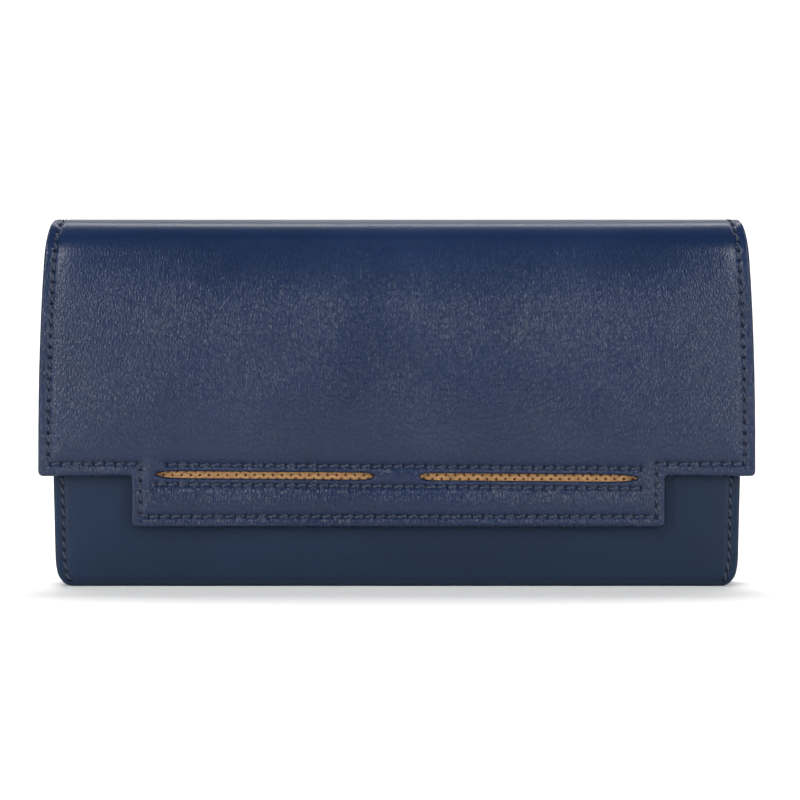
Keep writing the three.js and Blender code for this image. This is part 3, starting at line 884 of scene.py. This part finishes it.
def build_wrap(name, side, outer_y, top_z, base_run, rim, nodes, bend=None):
    """A body panel's leather, down its outer face and round under the base."""
    top_v = top_z - BEND
    seams = body_seams(top_v)
    end_v = -BEND * math.pi / 2 - base_run

    def at_base(segment):
        return abs(segment[0][1] - end_v) < 1e-6 and abs(segment[1][1] - end_v) < 1e-6

    def on_panel(points):
        return smooth((-side * points[:, 1] - 0.5) / 7)

    sheet = Sheet(wrap_outline(top_v, base_run), (), seams, at_base)
    half = BODY_GRID_HALF
    xs = lines(-half, half, 2.2, *mirrored((half - 8.5, half - 0.1, 0.42)))
    vs = lines(end_v, top_v, 1.8, (end_v, 2.0, 0.6), *edge_bands(top_v, -1))
    path = wrap_path(side, outer_y)
    if side > 0:
        sheet, seams = flipped(sheet, seams)

    def place(x, v):
        return path(x, -side * v)

    # The body panels take the copy of the leather with painted shade.
    made = build_sheet(
        name, sheet, grid_points(xs, -side * vs), place,
        padded_top(0.4, 0.2, 0.0, on_panel), rimmed_bottom(LEATHER - 0.1, rim), SHADED_BODY_NAVY,
    )
    declare(made, nodes, "back_body", bend)
    declare(stitches(name + "_stitches", seams, place), None, "back_body", bend)


def flipped(sheet, seams):
    """The same pattern with v turned round, so that its outer side still faces outwards."""
    turned = [Seam(seam.points * [1, -1]) for seam in seams]
    outline = (sheet.outline * [1, -1])[::-1]
    made = Sheet(outline, (), turned)
    made.edge_starts, made.edge_ends = sheet.edge_starts * [1, -1], sheet.edge_ends * [1, -1]
    return made, turned


FRONT_BEND = ("back_body", "front_panel", (0, -6.2 * MM, 0), (0, -9.4 * MM, 3.0 * MM))


def build_body():
    build_wrap("front_cover", -1, front_low[1], front_high[2], 1.0, 2.2, ["front_leather"], FRONT_BEND)
    run = (back_high[1] - BEND) - (front_low[1] + BEND + 1.1)
    build_wrap("back_cover", 1, back_high[1], back_high[2], run, 2.4, ["back_leather", "base_leather"])


# ---- lining and inner sheets
def plane(side, y):
    """A path on an upright plane. side is the way that its face looks along Y."""

    def path(x, v):
        normal = np.stack([0 * v, side + 0 * v, 0 * v], 1)
        return np.stack([x, y + 0 * v, side * -v], 1), normal

    return path


def soft_top(puff, wave=0.0, edge_radius=0.16):
    """The face of a cloth or thin leather sheet: nearly flat, with its seams drawn in."""

    def top(points, edge, cut, seam, hole):
        lift = puff * smooth(edge / 12) + wave * waves(points) * smooth(edge / 20)
        groove = dent(seam, 0.14, 0.4) + dent(hole, 0.14, 0.34)
        return lift - groove - edge_round(edge, edge_radius)

    return top


def soft_bottom(thick, puff=0.0, edge_radius=0.12):
    """The other face of such a sheet, which follows the first one."""

    def bottom(points, edge, cut, seam, hole):
        return puff * smooth(edge / 12) - thick + edge_round(edge, edge_radius)

    return bottom


def flat_piece(
    name, loop, y, side, thick, material, node, body, seams=(), puff=0.0, wave=0.0
):
    """An upright sheet with its face at y, looking along side. loop and seams are drawn in X and height."""
    turn = np.array([1, -side])
    outline = loop * turn
    x, v = outline.T
    if np.sum(x * np.roll(v, -1) - np.roll(x, -1) * v) < 0:
        outline = outline[::-1]
    turned = [Seam(seam.points * turn) for seam in seams]
    sheet = Sheet(outline, (), turned)
    low, high = outline.min(0), outline.max(0)
    rim = 0.32  # how wide the close grid lines along each side lie
    xs, vs = (lines(a, b, 3.0, (a, a + rim, 0.08), (b - rim, b, 0.08)) for a, b in zip(low, high))
    made = build_sheet(
        name, sheet, grid_points(xs, vs), plane(side, y),
        soft_top(puff, wave), soft_bottom(thick, puff), material,
    )
    declare(made, node, body)
    if turned:
        threads = stitches(name + "_stitches", turned, plane(side, y), height=-0.02, width=0.22, sink=0.3)
        declare(threads, None, body)


def build_linings():
    """The two panels' linings, each with a row of stitches under its top edge."""
    for panel, side, body in (("back", -1, "back_body"), ("front", 1, "front_panel")):
        node = f"{panel}_lining"
        low, high = box_mm(node)
        face = low[1] if side < 0 else high[1]
        half = high[0] - 1.0
        loop = rectangle(-half, half, low[2], high[2], 3)
        seam = Seam([(-half + 3, high[2] - 3), (half - 3, high[2] - 3)])
        flat_piece(node + "_sheet", loop, face, side, high[1] - low[1], LINING,
                   [node], body, [seam], wave=0.05)


LINING_INSET = 1.1  # how far inside the flap's edge the lining ends
LINING_DEPTH = 2.2 + 0.32  # from the leather's outer face: the layers in between, and the lining's own


def lining_path(x, v):
    """The flap's path as it is seen from inside, with v turned round."""
    position, normal = fold_path(x, -v, LINING_DEPTH)
    return position, -normal


def build_flap_lining():
    """Lining of the flap's inside and of the front half of the fold, and the same for the back half."""
    outline = (flap_outline(LINING_INSET) * [1, -1])[::-1]
    sheet = Sheet(outline, (), (), at_top)
    xs = lines(-FLAP_HALF, FLAP_HALF, 3.0, *mirrored((FLAP_HALF - 1.5, FLAP_HALF - LINING_INSET, 0.1)))
    vs = lines(0, -V_TONGUE, 2.0)
    made = build_sheet("flap_lining_sheet", sheet, grid_points(xs, vs), lining_path,
                       soft_top(0.0, 0.04), soft_bottom(0.3), LINING, at_top)
    declare(made, ["flap_lining", "fold_lining"], bend=FRONT_BLEND)

    reach, half = V_FOLD + 3.0, 97.5
    outline = rectangle(-half, half, -reach, 0, 1, 0)
    sheet = Sheet(outline, (), (), at_top)
    xs = lines(-half, half, 3.0)
    vs = lines(-reach, 0, 1.2)
    made = build_sheet("fold_lining_rear", sheet, grid_points(xs, vs), lining_path,
                       soft_top(0.0, 0.0), soft_bottom(0.3), LINING, at_top)
    declare(made, None, bend=REAR_BLEND)


def build_base_lining():
    low, high = box_mm("base_lining")
    half = high[0]
    middle, run = (low[1] + high[1]) / 2, (high[1] - low[1]) / 2
    outline = rectangle(-half, half, -run, run, 1)
    grid = grid_points(lines(-half, half, 4.0), lines(-run, run, 2.0))
    made = build_sheet("base_lining_sheet", Sheet(outline), grid, level_path(middle, high[2]),
                       soft_top(0.05), soft_bottom(0.4), LINING)
    declare(made, ["base_lining"], "back_body")


def build_card_slots():
    """Six stepped slots. Each has a turned top edge with a row of stitches below it."""
    for place in ("left", "right"):
        for row in (1, 2, 3):
            node = f"card_slot_{place}_{row}"
            low, high = box_mm(node)
            loop = rectangle(low[0], high[0], low[2], high[2], 0.8)
            seams = [Seam([(low[0] + 2, high[2] - 2.4), (high[0] - 2, high[2] - 2.4)], FINE_PITCH)]
            if row == 3:
                for x in (low[0] + 1.2, high[0] - 1.2):
                    seams.append(Seam([(x, low[2] + 2), (x, high[2] - 3.4)], FINE_PITCH))
            flat_piece(node + "_sheet", loop, low[1], -1, high[1] - low[1], SLOT_LEATHER,
                       [node], "back_body", seams, wave=0.05)


# ---- woven strip
def build_woven_strip():
    """Raffia braid: two sets of flat strands at 45 degrees that pass over and under each other."""
    pitch, half_width, half_thick, swing, squat = 1.8, 0.6, 0.13, 0.1, 0.9
    left, low_z = strip_low[0], strip_low[2]
    right, high_z = strip_high[0], strip_high[2]
    y = (strip_low[1] + strip_high[1]) / 2
    step = pitch * math.sqrt(2)
    height = (high_z - low_z) / squat
    sides, rings = 8, 27
    vertices, faces, strand, flat = [], [], [], []
    starts = np.arange(left - height, right, step)
    for direction in (1, -1):
        for number, start in enumerate(starts):
            t = np.linspace(0, 1, rings)
            x = start + (t * height if direction > 0 else (1 - t) * height)
            keep = (x > left) & (x < right)
            if keep.sum() < 4:
                continue
            x, z = x[keep], low_z + height * t[keep]
            cross = (z - low_z) / step * 2
            phase = math.pi * (cross + number * direction)
            over = direction * np.cos(phase)
            first = len(vertices)
            along = np.array([direction, 0, 1]) / math.sqrt(2)
            beside = np.array([1, 0, -direction]) / math.sqrt(2)
            for ring in range(len(x)):
                centre = np.array([x[ring], y - swing * over[ring], z[ring]])
                for side in range(sides):
                    turn = 2 * math.pi * side / sides
                    flatness = math.copysign(abs(math.cos(turn)) ** 0.7, math.cos(turn))
                    lift = half_thick * math.sin(turn) * np.array([0, 1, 0])
                    point = centre + (half_width * flatness * beside + lift)
                    point[2] = low_z + squat * (point[2] - low_z) - 0.15
                    vertices.append(point)
                    strand.append((ring * 0.4 * MM, flatness * half_width * MM, number * 0.01 + direction))
                    flat.append((x[ring] * MM, z[ring] * MM, 0.0))
            tube = tube_faces(first, len(x), sides)
            turned = np.dot(np.cross(along, beside), [0, 1, 0]) > 0
            faces += [face[::-1] for face in tube] if turned else tube
    made = new_object("woven_strip_braid", vertices, faces, STRAW)
    set_vectors(made, "strand", strand)
    set_vectors(made, "flat", flat)
    declare(made, ["woven_strip"], "flap")
    loop = rectangle(left + 0.5, right - 0.5, low_z + 0.3, high_z - 0.3, 0.5)
    flat_piece("woven_strip_backing", loop, strip_high[1] + 0.02, -1, 0.16, STRIP_CLOTH,
               None, "flap")


# ---- gussets
def curve_through(points, count):
    """A smooth open curve through points, by Catmull-Rom pieces, with evenly spaced results."""
    p = np.array([points[0], *points, points[-1]], float)
    dense = []
    for k in range(1, len(p) - 2):
        for t in np.linspace(0, 1, 24, endpoint=False):
            a, b, c, d = p[k - 1 : k + 3]
            cubic = (3 * b - a - 3 * c + d) * t**3
            dense.append(0.5 * (2 * b + (c - a) * t + (2 * a - 5 * b + 4 * c - d) * t**2 + cubic))
    dense.append(p[-1])
    dense = np.array(dense)
    along = np.concatenate([[0], np.cumsum(np.linalg.norm(np.diff(dense, axis=0), axis=1))])
    marks = np.linspace(0, along[-1], count)
    return np.stack([np.interp(marks, along, dense[:, k]) for k in (0, 1)], 1), marks


def build_gussets():
    """Accordion strip at each end: folded in towards each bill compartment, and out at the coin pocket."""
    low, high = box_mm("gusset_right")
    wall_low = box_mm("coin_pocket_front_wall")[0][1]
    wall_high = box_mm("coin_pocket_rear_wall")[1][1]
    rear = box_mm("back_lining")[0][1]
    front = box_mm("front_lining")[1][1]
    middle = (wall_low + wall_high) / 2
    columns, rows, thick = 97, 34, 0.36
    for side, place in ((-1, "left"), (1, "right")):
        points, tape = [], []
        for z in np.linspace(low[2] - 0.8, high[2], rows):
            share = (z - low[2]) / (high[2] - low[2])
            inner = high[0] - 7.4 + 3.2 * (1 - share)
            outer = high[0] + 0.9 - 1.8 * (1 - smooth(z / 7))
            between = (outer + inner) / 2 + 0.6
            plan = [
                (outer + 0.6, rear - 0.3),
                (outer, rear - 2.2),
                (between, rear - 3.1),
                (inner, (rear - 2.4 + wall_high) / 2),
                (between, wall_high + 0.9),
                (outer, wall_high + 0.2),
                (outer + 0.3, middle),
                (outer, wall_low - 0.2),
                (between, wall_low - 0.9),
                (inner, (front + 0.6 + wall_low) / 2),
                (between, front + 1.3),
                (outer, front + 0.9),
                (outer + 0.6, front + 0.3),
            ]
            curve, marks = curve_through(plan, columns)
            dip = 2.4 * share**6 * smooth((high[0] - curve[:, 0]) / 7)
            points.append(np.column_stack([curve[:, 0] * side, curve[:, 1], z - dip]))
            tape.append(np.column_stack([marks, np.full(columns, z), np.zeros(columns)]))
        points, tape = np.array(points), np.array(tape)
        normal = unit(np.cross(np.gradient(points, axis=1), np.array([0, 0, 1.0])))
        skins = [(points + normal * thick * s / 2).reshape(-1, 3) for s in (1, -1)]
        made = closed_grid(f"gusset_{place}_fold", skins, rows, columns, LINING, side > 0)
        set_vectors(made, "flat", np.concatenate([tape.reshape(-1, 3)] * 2) * MM)
        bend = ("back_body", "front_panel", (0, (rear - 2.6) * MM, 0), (0, (front + 0.6) * MM, 0))
        declare(made, [f"gusset_{place}"], bend=bend)


def closed_grid(name, skins, rows, columns, material, turned):
    """Two grids of points joined along their border into one closed sheet."""
    count = rows * columns
    faces = []
    for r in range(rows - 1):
        for c in range(columns - 1):
            a = r * columns + c
            quad = (a, a + 1, a + columns + 1, a + columns)
            faces.append(quad)
            faces.append(tuple(i + count for i in quad[::-1]))
    border = list(range(columns))
    border += [r * columns + columns - 1 for r in range(1, rows)]
    border += [(rows - 1) * columns + c for c in range(columns - 2, -1, -1)]
    border += [r * columns for r in range(rows - 2, 0, -1)]
    for a, b in zip(border, border[1:] + border[:1]):
        faces.append((b, a, a + count, b + count))
    if turned:
        faces = [f[::-1] for f in faces]
    return new_object(name, np.concatenate(skins), faces, material)


# ---- coin pocket and zip
def build_coin_pocket_walls():
    """Two cloth walls, each with a leather binding along its top for the zip."""
    for place, side in (("front", -1), ("rear", 1)):
        node = f"coin_pocket_{place}_wall"
        low, high = box_mm(node)
        face = low[1] if side < 0 else high[1]
        loop = rectangle(low[0] + 0.2, high[0] - 0.2, low[2], high[2], 2)
        flat_piece(node + "_sheet", loop, face, side, 0.5, LINING, [node], "coin_pocket",
                   puff=0.35, wave=0.12)
        loop = rectangle(low[0] + 1, high[0] - 1, high[2] - 7.5, high[2] + 0.5, 0.8)
        seam = Seam([(low[0] + 3, high[2] - 5.6), (high[0] - 3, high[2] - 5.6)], FINE_PITCH)
        flat_piece(f"zip_binding_{place}", loop, face + side * 0.5, side, 0.4, SLOT_LEATHER,
                   None, "coin_pocket", [seam])


def build_coin_pocket_strip():
    """One strip of cloth that is the pocket's floor and both of its sides."""
    low, high = box_mm("coin_pocket_floor")
    middle, run = (low[1] + high[1]) / 2, (high[1] - low[1]) / 2
    half, _, top = box_mm("coin_pocket_side_right")[1]
    floor_z, corner = low[2], 4.0
    straight = top - floor_z - corner
    turn_length = corner * math.pi / 2
    across = half - corner

    def path(x, v):
        """x runs round the strip, down one side, along the floor and up the other; v runs across it."""
        s, side = np.abs(x), np.sign(x)
        turn = np.clip((s - across) / corner, 0, math.pi / 2)
        rise = np.maximum(s - across - turn_length, 0)
        px = side * (np.minimum(s, across) + corner * np.sin(turn))
        pz = floor_z + corner * (1 - np.cos(turn)) + rise
        normal = np.stack([-side * np.sin(turn), 0 * v, np.cos(turn)], 1)
        return np.stack([px, middle + v, pz], 1), normal

    reach = across + turn_length + straight
    sheet = Sheet(rectangle(-reach, reach, -run, run, 0.3))
    grid = grid_points(lines(-reach, reach, 1.5), lines(-run, run, 1.0))
    made = build_sheet("coin_pocket_strip", sheet, grid, path, soft_top(0.0), soft_bottom(0.4), LINING)
    replaced = ["coin_pocket_floor", "coin_pocket_side_left", "coin_pocket_side_right"]
    declare(made, replaced, "coin_pocket")


def build_zip_tapes():
    for place, side in (("front", -1), ("rear", 1)):
        node = f"zip_tape_{place}"
        low, high = box_mm(node)
        coil_low, coil_high = box_mm(f"zip_coil_{place}")
        near = coil_high[1] - 0.9 if side > 0 else coil_low[1] + 0.9
        far = high[1] + 0.1 if side > 0 else low[1] - 0.1
        start, end = sorted((near, far))
        middle, run = (start + end) / 2, (end - start) / 2

        sheet = Sheet(rectangle(low[0], high[0], -run, run, 0.2))
        grid = grid_points(lines(low[0], high[0], 1.0), lines(-run, run, 0.5))
        made = build_sheet(node + "_cloth", sheet, grid, level_path(middle, high[2]),
                           soft_top(0.0), soft_bottom(0.36), ZIP_CLOTH)
        declare(made, [node], "coin_pocket")


def build_zip_coils():
    """Each row is one nylon filament wound into loops. The noses of the two rows lie between each other."""
    for place, side in (("front", -1), ("rear", 1)):
        node = f"zip_coil_{place}"
        low, high = box_mm(node)
        start, end = low[0] + 0.3, high[0] - 0.3
        centre_z = (low[2] + high[2]) / 2
        near = low[1] if side > 0 else high[1]
        far = high[1] if side > 0 else low[1]
        middle_y, half_y = (near + far) / 2 - side * 0.25, abs(far - near) / 2 - 0.02
        half_z, radius, pitch = (high[2] - low[2]) / 2 - 0.28, 0.27, 1.0
        turns = int((end - start) / pitch)
        per_turn, sides = 12, 6
        t = np.arange(turns * per_turn + 1) / per_turn
        angle = 2 * math.pi * t + (math.pi if side > 0 else 0)
        bulge = 0.22 * np.exp(-((np.cos(angle) * side + 1) / 0.5) ** 2)
        centre = np.stack([
            start + t * pitch,
            middle_y + (half_y + bulge) * np.cos(angle),
            centre_z + half_z * np.sin(angle),
        ], 1)
        ahead = unit(np.gradient(centre, axis=0))
        outward = np.stack([0 * t, np.cos(angle) * half_z, np.sin(angle) * half_y], 1)
        outward = unit(outward - (outward * ahead).sum(1)[:, None] * ahead)
        vertices = tube_points(centre, outward, np.cross(ahead, outward), radius, sides)
        made = new_object(node + "_winding", vertices, tube_faces(0, len(t), sides), NYLON)
        declare(made, [node], "coin_pocket")


def finish_cad_pieces():
    """Materials and small rounded edges for the CAD parts that stay."""
    looks = {
        "zip_slider": (GOLD, 0.16), "zip_pull": (GOLD, 0.22), "zip_stop_left": (GOLD, 0.25),
        "zip_stop_right": (GOLD, 0.25), "front_magnet": (STEEL, 0.12), "flap_magnet": (STEEL, 0.1),
        "back_board": (BOARD, 0.08), "front_board": (BOARD, 0.08), "flap_board": (BOARD, 0.06),
    }
    for node, (material, width) in looks.items():
        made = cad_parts[node]
        made.data.materials.clear()
        made.data.materials.append(material)
        bevel = made.modifiers.new("rounded", "BEVEL")
        bevel.width = width * MM
        bevel.segments = 3
        bevel.limit_method = "ANGLE"
        bevel.angle_limit = math.radians(40)


# ---- stage, light and camera
def area_light(name, place, target, size, power, glossy=True, diffuse=True):
    """A light box that looks at its target. glossy and diffuse say which of the two reflections it is in."""
    data = bpy.data.lights.new(name, "AREA")
    data.shape = "RECTANGLE"
    data.size, data.size_y = size
    data.energy = power
    made = bpy.data.objects.new(name, data)
    bpy.context.scene.collection.objects.link(made)
    made.location = place
    made.visible_glossy = glossy
    made.visible_diffuse = diffuse
    made.rotation_euler = (Vector(target) - Vector(place)).to_track_quat("-Z", "Y").to_euler()


def build_stage():
    """A pale floor that curves up into a backdrop."""
    n = Nodes("pale_floor")
    place = n.object_place()
    tone = n.noise(place, 3.0, 2.0)
    white = n.mix(n.span(tone, 0.3, 0.7), (0.9, 0.9, 0.9), (0.93, 0.93, 0.93))
    material = n.finish(Base_Color=white, Roughness=0.9, Specular_IOR_Level=0.1)
    radius, depth, rise, half = 1.2, 2.2, 4.0, 6.0
    profile = [(-5.0, 0.0)]
    for turn in np.linspace(0, math.pi / 2, 24):
        profile.append((depth + radius * math.sin(turn), radius * (1 - math.cos(turn))))
    profile.append((depth + radius, rise))
    vertices = [(x / MM, y / MM, z / MM) for y, z in profile for x in (-half, half)]
    faces = [(2 * k, 2 * k + 1, 2 * k + 3, 2 * k + 2) for k in range(len(profile) - 1)]
    floor = new_object("floor", vertices, faces, material)
    floor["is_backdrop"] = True


def build_light():
    """A tall box and a sheen light at each side, a box above in front and one behind, and a backdrop wash."""
    world = bpy.data.worlds.new("studio")
    bpy.context.scene.world = world
    world.use_nodes = True
    background = world.node_tree.nodes["Background"]
    background.inputs["Color"].default_value = (1, 1, 1, 1)
    background.inputs["Strength"].default_value = 0.04
    target = (0, 0, 0.055)
    area_light("left_box", (-0.86, -0.7, 0.34), target, (0.2, 0.6), 6.6)
    area_light("right_box", (0.86, -0.7, 0.34), target, (0.2, 0.6), 6.0)
    area_light("left_sheen", (-0.72, -0.92, 0.62), target, (0.24, 0.4), 2.4, diffuse=False)
    area_light("right_sheen", (0.72, -0.92, 0.62), target, (0.24, 0.4), 2.0, diffuse=False)
    area_light("front_top_box", (-0.1, -0.7, 1.0), target, (0.5, 0.3), 6.4, glossy=False)
    area_light("rear_top_box", (0, 0.45, 1.1), (0, 0, 0), (0.6, 0.4), 9.5, glossy=False)
    area_light("back_wash", (0, 1.3, 1.9), (0, 2.6, 0.2), (3.4, 1.0), 85)


def build_camera():
    data = bpy.data.cameras.new("camera")
    data.lens = 100.0
    data.sensor_width = 36.0
    data.clip_start = 0.01
    made = bpy.data.objects.new("camera", data)
    bpy.context.scene.collection.objects.link(made)
    picture_width = 0.2228  # metres, at the wallet's front
    distance = picture_width * data.lens / data.sensor_width
    made.location = (0.0009, -HALF_DEPTH * MM - distance, HEIGHT * MM / 2 + 0.0005)
    made.rotation_euler = (math.pi / 2, 0, 0)
    bpy.context.scene.camera = made


build_camera()
build_light()
build_stage()
build_flap()
build_flap_root()
build_body()
build_linings()
build_flap_lining()
build_base_lining()
build_card_slots()
build_woven_strip()
build_gussets()
build_coin_pocket_walls()
build_coin_pocket_strip()
build_zip_tapes()
build_zip_coils()
finish_cad_pieces()
bpy.context.scene.view_settings.view_transform = "Standard"
